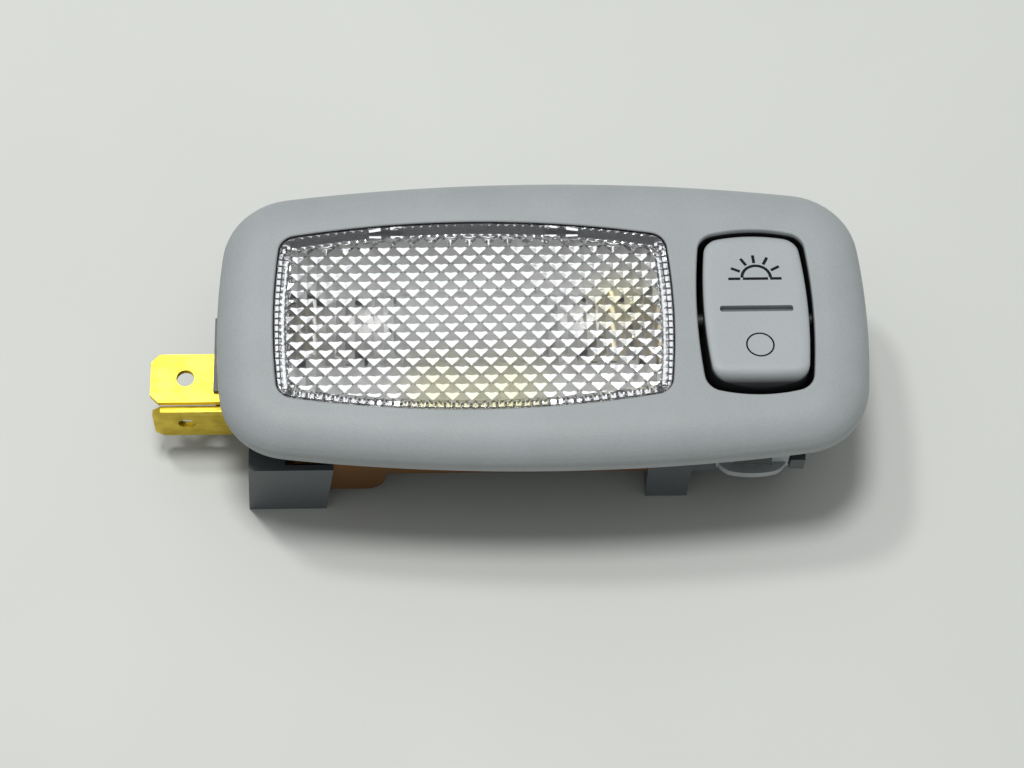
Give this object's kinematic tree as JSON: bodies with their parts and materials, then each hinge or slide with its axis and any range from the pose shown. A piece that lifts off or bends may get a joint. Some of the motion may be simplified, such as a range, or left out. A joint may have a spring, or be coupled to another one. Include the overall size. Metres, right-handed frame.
{
  "type": "car interior light",
  "caption": "Clip-in car interior light: barrel-shaped bezel, clear prismatic lens over a festoon bulb, rocker switch, brass blade terminals.",
  "frame": {"origin": "centre of the bezel on the plane where its rim seats on the panel", "axes": "+Z out of the panel through the lens, +X towards the switch end, the blades point to -X"},
  "size_m": [0.0838, 0.0368, 0.0204],
  "materials": {
    "grey_plastic": "fine satin grain",
    "clear_lens": "clear polished plastic",
    "dark_plastic": "satin slate grey",
    "white_metal": "white enamel",
    "bulb_glass": "clear glass",
    "cap_metal": "nickel plated",
    "filament": "drawn tungsten",
    "brass": "bright stamped brass",
    "contact_bronze": "spring bronze sheet",
    "steel": "hardened steel"
  },
  "bodies": {
    "lamp": {"bezel": "grey_plastic", "lens": "clear_lens", "housing": "dark_plastic", "reflector": "white_metal", "bulb_glass": "bulb_glass", "bulb_cap_left": "cap_metal", "bulb_cap_right": "cap_metal", "bulb_filament": "filament", "bulb_leads": "cap_metal", "supply_terminal": "brass", "earth_strip": "brass", "lamp_contact_left": "cap_metal", "lamp_contact_right": "contact_bronze", "contact_rivets": "cap_metal"},
    "rocker": {"rocker": "grey_plastic", "contact_bridge": "contact_bronze", "detent_spring": "steel", "detent_ball": "steel"}
  },
  "joints": [
    {"name": "rocker_rock", "type": "hinge", "parent": "lamp", "child": "rocker", "pos_m": [0.02449, 0, 0.001], "axis": [1, 0, 0], "range_deg": [0, 13]}
  ]
}
